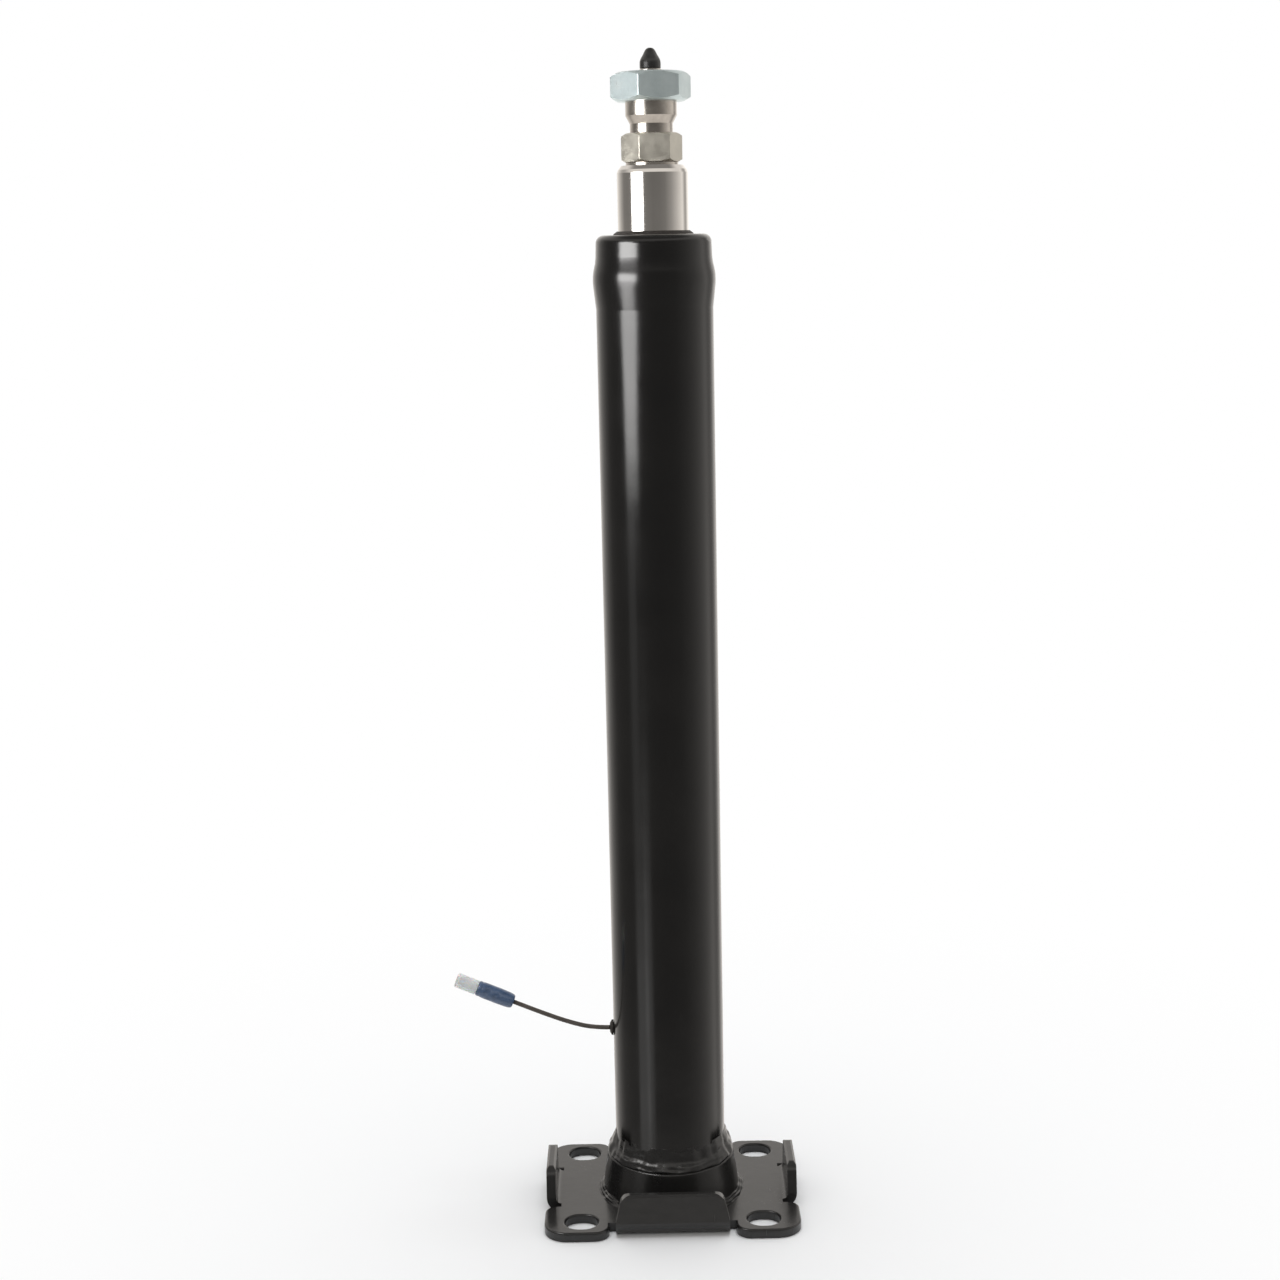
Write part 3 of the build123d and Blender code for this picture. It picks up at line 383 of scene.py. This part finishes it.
class Nodes:
    """Builds the node tree of its owner, a material or the world.

    A value is a number, a vector, an (r, g, b) colour or another node's output.
    """

    def __init__(self, owner):
        owner.use_nodes = True
        self.tree = owner.node_tree

    def set(self, socket, value):
        """Sets a socket to a fixed value, or links an output to it."""
        if isinstance(value, bpy.types.NodeSocket):
            self.tree.links.new(value, socket)
        else:
            socket.default_value = (*value, 1.0) if socket.type == "RGBA" else value

    def feed(self, node, **values):
        """Sets inputs of a node by name, with _ for each space."""
        for name, value in values.items():
            self.set(node.inputs[name.replace("_", " ")], value)

    def add(self, kind, **settings):
        node = self.tree.nodes.new(kind)
        for key, value in settings.items():
            setattr(node, key, value)
        return node

    def join(self, kind, *values, **settings):
        """The outputs of a new node whose inputs take these values in order."""
        node = self.add(kind, **settings)
        for socket, value in zip(node.inputs, values):
            self.set(socket, value)
        return node.outputs

    def math(self, operation, *values):
        return self.join("ShaderNodeMath", *values, operation=operation)[0]

    def spread(self, value, start, end, low=0.0, high=1.0, blend="LINEAR"):
        """low where the value is below start, high above end, and a blend between them."""
        node = self.add("ShaderNodeMapRange", interpolation_type=blend)
        self.feed(node, Value=value, From_Min=start, From_Max=end, To_Min=low, To_Max=high)
        return node.outputs["Result"]

    def step(self, value, start, end, low=0.0, high=1.0):
        """The same, with a blend that starts and ends smoothly."""
        return self.spread(value, start, end, low, high, "SMOOTHSTEP")

    def colours(self, factor, *stops):
        """A colour ramp through (place, (r, g, b)) stops."""
        ramp = self.add("ShaderNodeValToRGB")
        elements = ramp.color_ramp.elements
        while len(elements) < len(stops):
            elements.new(0.5)
        for element, (place, colour) in zip(elements, stops):
            element.position = place
            element.color = (*colour, 1.0)
        self.feed(ramp, Fac=factor)
        return ramp.outputs["Color"]

    def coordinates(self, kind):
        return self.add("ShaderNodeTexCoord").outputs[kind]


# ---- materials ----------------------------------------------------------------------------------

HEX_BOTTOM = 0.5600  # of the end plug's hexagon
HEX_TOP = 0.5745
HEX_EDGE = 0.0004
NOISE_LOW = 0.3  # nearly all of a noise lies between these two
NOISE_HIGH = 0.7
DEEP_BLACK = (0.0036, 0.0035, 0.0035)
FADED_BLACK = (0.0062, 0.0059, 0.0055)


class Look(Nodes):
    """One procedural material with a Principled shader."""

    def __init__(self, name, **values):
        self.material = bpy.data.materials.new(name)
        super().__init__(self.material)
        self.main = self.tree.nodes["Principled BSDF"]
        self.place = self.coordinates("Object")
        self.feed(self.main, **values)

    def stretched(self, x, y, z):
        """Object coordinates scaled along each axis."""
        mapping = self.add("ShaderNodeMapping")
        self.feed(mapping, Vector=self.place, Scale=(x, y, z))
        return mapping.outputs["Vector"]

    def noise(self, scale, detail=3.0, rough=0.5, place=None):
        node = self.add("ShaderNodeTexNoise")
        self.feed(node, Scale=scale, Detail=detail, Roughness=rough, Vector=place or self.place)
        return node.outputs["Fac"]

    def vary(self, noise, low, high):
        """A value that a noise moves between low and high."""
        return self.spread(noise, NOISE_LOW, NOISE_HIGH, low, high)

    def two_tones(self, noise, dark, light):
        """A colour that a noise moves between two others."""
        return self.colours(noise, (NOISE_LOW, dark), (NOISE_HIGH, light))

    def mix(self, factor, first, second):
        """first where factor is 0, second where it is 1."""
        node = self.add("ShaderNodeMix", data_type="RGBA")
        self.feed(node, Factor=factor)
        self.set(node.inputs[6], first)
        self.set(node.inputs[7], second)
        return node.outputs[2]

    def bump(self, height, strength, distance, over=None):
        """A normal bent by a height in metres, on top of another bump where one is given."""
        node = self.add("ShaderNodeBump")
        self.feed(node, Height=height, Strength=strength, Distance=distance)
        if over is not None:
            self.feed(node, Normal=over)
        return node.outputs["Normal"]

    def finish(self, colour, roughness, normal):
        """The material, with its colour, roughness and normal in place."""
        self.feed(self.main, Base_Color=colour, Roughness=roughness, Normal=normal)
        return self.material


def black_paint(name, sag_strength, peel_strength=0.10, haze_range=(0.15, 0.22), dust=0.0):
    """Gloss stoved paint: near black, with orange peel, faint haze, a few fine scuffs and some dust."""
    look = Look(name, IOR=1.5)
    patches = look.noise(scale=22.0, detail=4.0, rough=0.55)
    deep, faded = (tuple(value + dust for value in tone) for tone in (DEEP_BLACK, FADED_BLACK))
    haze = look.spread(patches, 0.35, 0.7, *haze_range)
    scratches = look.noise(scale=60.0, detail=5.0, rough=0.7, place=look.stretched(9.0, 9.0, 0.6))
    scuffs = look.spread(scratches, 0.62, 0.8, 0.0, 0.12)
    fine = look.noise(scale=650.0, detail=2.0, rough=0.4)
    medium = look.noise(scale=190.0, detail=2.0)
    wide = look.noise(scale=70.0, detail=1.0, rough=0.3)
    peel = look.bump(fine, strength=peel_strength, distance=0.00012)
    waves = look.bump(wide, strength=0.12, distance=0.0005, over=peel)
    sags = look.bump(medium, strength=sag_strength, distance=0.0006, over=waves)
    return look.finish(look.two_tones(patches, deep, faded), look.math("ADD", haze, scuffs), sags)


def chrome():
    """Ground and hard-chromed steel, with very fine rings round it."""
    look = Look("chrome", Metallic=1.0)
    rings = look.noise(scale=40.0, detail=4.0, rough=0.6, place=look.stretched(1.0, 1.0, 140.0))
    colour = look.two_tones(look.noise(scale=35.0), (0.62, 0.60, 0.575), (0.70, 0.68, 0.65))
    ridges = look.bump(rings, strength=0.05, distance=0.00002)
    return look.finish(colour, look.vary(rings, 0.06, 0.12), ridges)


def turned_metal(name, dark, light, smooth, rough):
    """Turned metal: fine rings of the tool, and a slightly mottled surface."""
    look = Look(name, Metallic=1.0)
    rings = look.noise(scale=60.0, rough=0.6, place=look.stretched(0.6, 0.6, 60.0))
    mottle = look.noise(scale=140.0, detail=4.0, rough=0.6)
    ridges = look.spread(rings, 0.4, 0.8, 0.0, 0.08)
    roughness = look.math("ADD", look.vary(mottle, smooth, rough), ridges)
    grooves = look.bump(rings, strength=0.15, distance=0.00006)
    return look.finish(look.two_tones(mottle, dark, light), roughness, grooves)


def plug_steel():
    """The end plug: smooth where it was turned, and duller on the milled flats of its hexagon. Its turned
    parts have a darker tone than the flats, which is painted shade under the nut.
    """
    look = Look("plug_steel", Metallic=1.0)
    rings = look.noise(scale=60.0, rough=0.6, place=look.stretched(0.6, 0.6, 40.0))
    mottle = look.noise(scale=120.0, detail=4.0, rough=0.6)
    # painted shade: the turned parts, chiefly the shoulder and groove under the nut, get a darker tone than
    # the milled flats
    smooth = look.two_tones(mottle, (0.42, 0.39, 0.355), (0.56, 0.525, 0.48))
    dull = look.two_tones(mottle, (0.58, 0.56, 0.50), (0.70, 0.68, 0.61))
    height = look.join("ShaderNodeSeparateXYZ", look.place)["Z"]
    above = look.spread(height, HEX_BOTTOM, HEX_BOTTOM + HEX_EDGE)
    below = look.spread(height, HEX_TOP - HEX_EDGE, HEX_TOP, 1.0, 0.0)
    milled = look.math("MULTIPLY", above, below)
    extra = look.math("MULTIPLY", milled, look.vary(mottle, 0.24, 0.34))
    roughness = look.math("ADD", look.vary(mottle, 0.15, 0.24), extra)
    grooves = look.bump(rings, strength=0.06, distance=0.00004)
    # the height mask puts the lighter tone on the hexagon and the darker tone of painted shade everywhere
    # else
    return look.finish(look.mix(milled, smooth, dull), roughness, grooves)


def zinc():
    """Bright zinc plating over forged steel: cool, slightly cloudy and finely pitted."""
    look = Look("zinc", Metallic=1.0)
    cloud = look.noise(scale=90.0, detail=4.0, rough=0.6)
    grain = look.noise(scale=900.0, rough=0.6)
    colour = look.colours(
        cloud,
        (0.25, (0.56, 0.66, 0.68)),
        (0.55, (0.68, 0.78, 0.80)),
        (0.80, (0.74, 0.82, 0.83)),
    )
    pits = look.bump(grain, strength=0.12, distance=0.00006)
    hollows = look.bump(cloud, strength=0.14, distance=0.0004, over=pits)
    return look.finish(colour, look.vary(grain, 0.38, 0.50), hollows)


def moulded(name, dark, light, smooth, rough, grain=700.0, coat=0.0):
    """Moulded plastic or rubber with a fine grain and slight colour changes."""
    look = Look(name, Coat_Weight=coat, Coat_Roughness=0.15)
    fine = look.noise(scale=grain, rough=0.6)
    colour = look.two_tones(look.noise(scale=180.0), dark, light)
    texture = look.bump(fine, strength=0.15, distance=0.00008)
    return look.finish(colour, look.vary(fine, smooth, rough), texture)


def blue_nylon():
    """Dyed insulation of a crimp connector: slightly translucent, smooth, and scuffed by the crimp."""
    look = Look(
        "blue_nylon",
        IOR=1.5,
        Subsurface_Weight=0.12,
        Subsurface_Scale=0.002,
        Subsurface_Radius=(0.3, 0.6, 1.0),
        Coat_Weight=0.3,
        Coat_Roughness=0.12,
    )
    colour = look.two_tones(look.noise(scale=260.0), (0.040, 0.074, 0.145), (0.068, 0.115, 0.212))
    scuffs = look.noise(scale=1200.0, detail=4.0, rough=0.7)
    roughness = look.spread(scuffs, 0.35, 0.75, 0.25, 0.5)
    return look.finish(colour, roughness, look.bump(scuffs, strength=0.12, distance=0.00006))


def clear_nylon():
    """Clear, slightly milky insulation."""
    look = Look(
        "clear_nylon",
        IOR=1.5,
        Transmission_Weight=0.35,
        Subsurface_Weight=0.3,
        Subsurface_Scale=0.002,
    )
    colour = look.two_tones(look.noise(scale=300.0), (0.80, 0.83, 0.85), (0.90, 0.92, 0.93))
    fine = look.noise(scale=1400.0)
    texture = look.bump(fine, strength=0.03, distance=0.00003)
    return look.finish(colour, look.vary(fine, 0.30, 0.42), texture)


def sheath_pvc():
    """The lead's dark sheath with faint drawn lines."""
    look = Look("lead_sheath")
    lines = look.noise(scale=300.0, rough=0.6, place=look.stretched(0.5, 4.0, 4.0))
    colour = look.two_tones(lines, (0.050, 0.042, 0.036), (0.085, 0.072, 0.062))
    roughness = look.vary(look.noise(scale=900.0), 0.38, 0.55)
    return look.finish(colour, roughness, look.bump(lines, strength=0.1, distance=0.00005))


def copper_wire():
    """Enamelled copper."""
    look = Look("copper", Metallic=1.0, Coat_Weight=0.5, Coat_Roughness=0.1)
    patches = look.noise(scale=200.0)
    colour = look.two_tones(patches, (0.55, 0.22, 0.10), (0.72, 0.34, 0.18))
    grain = look.bump(look.noise(scale=800.0), strength=0.1, distance=0.00005)
    return look.finish(colour, look.vary(patches, 0.2, 0.35), grain)


def all_materials():
    """One material for each slot of the record."""
    metals = {  # dark and light tone, then lowest and highest roughness
        "steel": ((0.36, 0.36, 0.37), (0.50, 0.50, 0.51), 0.25, 0.38),
        "soft_iron": ((0.22, 0.21, 0.21), (0.32, 0.31, 0.31), 0.35, 0.5),
        "aluminium": ((0.66, 0.67, 0.68), (0.78, 0.79, 0.80), 0.24, 0.36),
        "bronze": ((0.45, 0.28, 0.12), (0.60, 0.40, 0.20), 0.3, 0.42),
        "tinned": ((0.62, 0.60, 0.56), (0.76, 0.74, 0.70), 0.2, 0.32),
    }
    plastics = {  # the same, then the scale of the grain and the clear coat where they differ
        "seal_rubber": ((0.010, 0.008, 0.007), (0.022, 0.017, 0.014), 0.5, 0.7),
        "buffer_foam": ((0.52, 0.43, 0.22), (0.66, 0.56, 0.32), 0.6, 0.8, 400.0),
        "slide_band": ((0.10, 0.06, 0.035), (0.17, 0.105, 0.06), 0.4, 0.55),
        "cap_plastic": ((0.010, 0.010, 0.010), (0.018, 0.018, 0.018), 0.3, 0.45, 900.0, 0.2),
    }
    return {
        "black_paint": black_paint("black_paint", sag_strength=0.02),
        "chrome": chrome(),
        "plug_steel": plug_steel(),
        "zinc": zinc(),
        "copper": copper_wire(),
        "lead_sheath": sheath_pvc(),
        "boot_blue": blue_nylon(),
        "sleeve_clear": clear_nylon(),
        **{name: turned_metal(name, *finish) for name, finish in metals.items()},
        **{name: moulded(name, *finish) for name, finish in plastics.items()},
    }


def dress(piece, material):
    """Gives a piece one material all over."""
    piece.data.materials.clear()
    piece.data.materials.append(material)


def dress_all(lead, boot, welds):
    """Gives every piece its material, with thicker and duller paint round the foot."""
    materials = all_materials()
    for subpart in frame["record"]["subparts"]:
        dress(nodes[subpart["node"]], materials[subpart["material_slot"]])
    dress(lead, materials["lead_sheath"])
    dress(boot, materials["boot_blue"])
    thick_paint = black_paint(
        "thick_paint",
        sag_strength=0.20,
        peel_strength=0.14,
        haze_range=(0.25, 0.36),
        dust=0.009,
    )
    for piece in (*welds, nodes["base_collar"]):
        dress(piece, thick_paint)
    sheet_paint = black_paint(
        "sheet_paint",
        sag_strength=0.09,
        peel_strength=0.14,
        haze_range=(0.17, 0.27),
        dust=0.014,
    )
    dress(nodes["foot_plate"], sheet_paint)


# ---- studio -------------------------------------------------------------------------------------

NEUTRAL_WHITE = (1.0, 0.99, 0.98)


class Studio(Nodes):
    """Builds the nodes of the floor or of a light, starting from none."""

    def __init__(self, owner):
        super().__init__(owner)
        self.tree.nodes.clear()

    def window(self, value, low, high, soft):
        """1 between low and high, fading to 0 over the soft width outside them."""
        above = self.step(value, low - soft, low)
        below = self.step(value, high, high + soft, 1.0, 0.0)
        return self.math("MULTIPLY", above, below)

    def shader(self, kind, **values):
        """A shader of some kind with these inputs."""
        node = self.add(kind)
        self.feed(node, **values)
        return node.outputs[0]

    def add_shaders(self, first, second):
        return self.join("ShaderNodeAddShader", first, second)[0]

    def mix_shaders(self, factor, first, second):
        """first where factor is 0, second where it is 1."""
        return self.join("ShaderNodeMixShader", factor, first, second)[0]

    def show(self, kind, surface):
        """Ends the tree in an output of some kind."""
        self.feed(self.add(kind), Surface=surface)


def flat_panel(name, corners, material):
    """A flat panel of the studio through four corners."""
    mesh = bpy.data.meshes.new(name)
    mesh.from_pydata(corners, [], [(0, 1, 2, 3)])
    mesh.materials.append(material)
    return put_in_scene(name, mesh)


# ---- floor --------------------------------------------------------------------------------------

FLOOR_REACH = 6.0  # half its width
FLOOR_DROP = 0.0003  # below the object
NEAR_FLOOR_DROP = 0.0001
NEAR_FLOOR_MARGIN = 0.008  # past the foot
PAPER = (0.905, 0.93, 0.96)
PAPER_FADE = (0.10, 0.55)  # distances from the origin: paper inside, white outside


def floor_material():
    """Pale paper that fades into the white of the studio."""
    material = bpy.data.materials.new("pale_floor")
    floor = Studio(material)
    place = floor.coordinates("Object")
    distance = floor.join("ShaderNodeVectorMath", place, operation="LENGTH")["Value"]
    fade = floor.step(distance, *PAPER_FADE)
    paper = floor.shader("ShaderNodeBsdfDiffuse", Color=PAPER)
    white = floor.shader("ShaderNodeEmission")
    floor.show("ShaderNodeOutputMaterial", floor.mix_shaders(fade, paper, white))
    return material


def make_floor():
    """A wide floor that gloss doesn't mirror, and a part round the foot that only gloss shows."""
    material = floor_material()
    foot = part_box("foot_plate")[1]
    near_x, near_y = foot.x + NEAR_FLOOR_MARGIN, foot.y + NEAR_FLOOR_MARGIN
    for name, x, y, drop, mirrored in (
        ("floor", FLOOR_REACH, FLOOR_REACH, FLOOR_DROP, False),
        ("floor_near", near_x, near_y, NEAR_FLOOR_DROP, True),
    ):
        floor = flat_panel(name, [(-x, -y, 0), (x, -y, 0), (x, y, 0), (-x, y, 0)], material)
        floor.location.z = cad_bounds[0][2] - drop
        floor.visible_glossy = mirrored
        floor.visible_camera = floor.visible_diffuse = floor.visible_shadow = not mirrored


# ---- world --------------------------------------------------------------------------------------

FULL_TURN = 360.0  # degrees
WARM_WHITE = (1.0, 0.955, 0.905)
WALLS = [  # azimuth in degrees, 0 in front and 90 on the right, and brightness
    (-180, 1.00),
    (-150, 0.78),
    (-128, 0.48),
    (-108, 0.22),
    (-92, 0.20),
    (-35, 0.20),
    (0, 0.16),
    (22, 0.17),
    (40, 0.20),
    (62, 0.33),
    (80, 0.50),
    (95, 0.66),
    (112, 0.86),
    (125, 0.42),
    (135, 0.42),
    (149, 0.95),
    (180, 1.00),
]
WALL_GAIN = 1.25
WALL_TOP = (18.0, 34.0)  # degrees up, over which the walls turn white
CEILING_EDGE = (40.0, 58.0)  # degrees up, over which the white turns into the ceiling
CEILING_LEVEL = 0.30
TABLE_EDGE = (24.0, 31.0)  # degrees down, over which the walls turn into the white table
TABLE_PATCHES = [  # azimuths, elevations, brightness, and how soft the edges are across and up
    ((-63, -53), (-15, -6), 0.35, (6.0, 3.0)),  # the soft box's glow
    ((-62, -44), (-25, -19.8), 0.9, (7.0, 2.0)),
    ((-44, -34), (-24, -18), 0.7, (5.0, 3.0)),
]


class World(Studio):
    """The studio round the object, as a brightness for each direction."""

    def __init__(self, owner):
        super().__init__(owner)
        x, y, z = self.join("ShaderNodeSeparateXYZ", self.coordinates("Generated"))
        away = self.math("MULTIPLY", y, -1.0)
        to_degrees = FULL_TURN / TAU
        self.azimuth = self.math("MULTIPLY", self.math("ARCTAN2", x, away), to_degrees)
        self.elevation = self.math("MULTIPLY", self.math("ARCSINE", z), to_degrees)

    def walls(self):
        """The brightness of the walls, all round."""
        turn = self.math("ADD", self.math("DIVIDE", self.azimuth, FULL_TURN), 0.5)
        stops = [(azimuth / FULL_TURN + 0.5, (level, level, level)) for azimuth, level in WALLS]
        return self.math("MULTIPLY", self.colours(turn, *stops), WALL_GAIN)

    def patch(self, azimuths, elevations, level, soft):
        """A bright rectangle with soft edges."""
        across = self.window(self.azimuth, *azimuths, soft[0])
        up = self.window(self.elevation, *elevations, soft[1])
        return self.math("MULTIPLY", self.math("MULTIPLY", across, up), level)

    def blend(self, factor, first, second):
        """first where factor is 0, second where it is 1."""
        rest = self.math("SUBTRACT", 1.0, factor)
        shares = self.math("MULTIPLY", first, rest), self.math("MULTIPLY", second, factor)
        return self.math("ADD", *shares)


def make_world():
    """White behind and dim in front, white above the walls and on the table, under a darker ceiling.

    Paler patches lie on the table at the front left. The camera itself sees plain white.
    """
    bpy.context.scene.world = bpy.data.worlds.new("studio")
    world = World(bpy.context.scene.world)
    down = world.math("MULTIPLY", world.elevation, -1.0)
    level = world.blend(world.step(world.elevation, *WALL_TOP), world.walls(), 1.0)
    level = world.blend(world.step(world.elevation, *CEILING_EDGE), level, CEILING_LEVEL)
    level = world.blend(world.step(down, *TABLE_EDGE), level, 1.0)
    patches = 0.0
    for patch in TABLE_PATCHES:
        patches = world.math("ADD", world.patch(*patch), patches)
    studio = world.shader("ShaderNodeBackground", Color=WARM_WHITE, Strength=level)
    table = world.shader("ShaderNodeBackground", Color=NEUTRAL_WHITE, Strength=patches)
    white = world.shader("ShaderNodeBackground", Color=(1.0, 1.0, 1.0), Strength=1.0)
    from_camera = world.add("ShaderNodeLightPath").outputs["Is Camera Ray"]
    surroundings = world.add_shaders(studio, table)
    world.show("ShaderNodeOutputWorld", world.mix_shaders(from_camera, surroundings, white))


# ---- lights -------------------------------------------------------------------------------------

BOX_AZIMUTH = math.radians(-51.5)  # of the soft box, from the front
BOX_DISTANCE = 0.45
BOX_BOTTOM = 0.30
BOX_TOP = 0.74
BOX_REACH = 0.24  # half the width of its frame
BOX_FOOT = (0.322, 0.405)  # heights over which its light sets in
BOX_FOOT_LEVEL = 7.6
BOX_CORE = (0.472, 0.512)  # heights over which it grows stronger
BOX_CORE_LEVEL = 6.6
BOX_HEAD = (0.585, 0.635)  # heights over which it dies down
BOX_HEAD_SHARE = 0.12
BOX_WIDENING = (0.38, 0.52)  # heights over which its light grows wider
BOX_HALF_WIDTHS = (0.088, 0.135)
BOX_EDGE = (-0.03, 0.05)  # over which its light fades, inside and outside that half width
LAMP_PLACE = (0.0, 0.2, 2.2)
LAMP_SIZE = 1.6
LAMP_WATTS = 26.0


def soft_box_material():
    """Its light: soft at the edges, brighter and wider in the upper half, and clear round it."""
    material = bpy.data.materials.new("soft_box")
    box = Studio(material)
    across, _, height = box.join("ShaderNodeSeparateXYZ", box.coordinates("Object"))
    foot = box.math("MULTIPLY", box.step(height, *BOX_FOOT), BOX_FOOT_LEVEL)
    core = box.math("MULTIPLY", box.step(height, *BOX_CORE), BOX_CORE_LEVEL)
    head = box.step(height, *BOX_HEAD, 1.0, BOX_HEAD_SHARE)
    level = box.math("MULTIPLY", box.math("ADD", foot, core), head)
    half_width = box.step(height, *BOX_WIDENING, *BOX_HALF_WIDTHS)
    beyond = box.math("SUBTRACT", box.math("ABSOLUTE", across), half_width)
    strength = box.math("MULTIPLY", level, box.step(beyond, *BOX_EDGE, 1.0, 0.0))
    light = box.shader("ShaderNodeEmission", Color=NEUTRAL_WHITE, Strength=strength)
    clear = box.shader("ShaderNodeBsdfTransparent")
    box.show("ShaderNodeOutputMaterial", box.add_shaders(light, clear))
    return material


def make_soft_box():
    """A tall soft box close to the object at the front left, seen only in what is glossy."""
    corners = [
        (-BOX_REACH, 0, BOX_BOTTOM),
        (BOX_REACH, 0, BOX_BOTTOM),
        (BOX_REACH, 0, BOX_TOP),
        (-BOX_REACH, 0, BOX_TOP),
    ]
    box = flat_panel("soft_box", corners, soft_box_material())
    box.location = (math.sin(BOX_AZIMUTH) * BOX_DISTANCE, -math.cos(BOX_AZIMUTH) * BOX_DISTANCE, 0)
    box.rotation_euler.z = BOX_AZIMUTH
    box.visible_camera = box.visible_diffuse = box.visible_shadow = box.visible_transmission = False


def make_lamp():
    """One large soft lamp overhead, which lights the floor. Gloss doesn't show it."""
    data = bpy.data.lights.new("overhead", "AREA")
    data.shape = "DISK"
    data.size = LAMP_SIZE
    data.energy = LAMP_WATTS
    lamp = put_in_scene("overhead", data)
    lamp.location = LAMP_PLACE
    lamp.visible_camera = lamp.visible_glossy = False


# ---- everything together ------------------------------------------------------------------------


def main():
    bpy.context.scene.view_settings.view_transform = "Standard"
    make_camera()
    line = lead_line()
    lead = make_lead(line)
    boot = make_boot()
    welds = [tube_weld(), foot_weld()]
    dress_all(lead, boot, welds)
    make_floor()
    make_world()
    make_soft_box()
    make_lamp()


main()
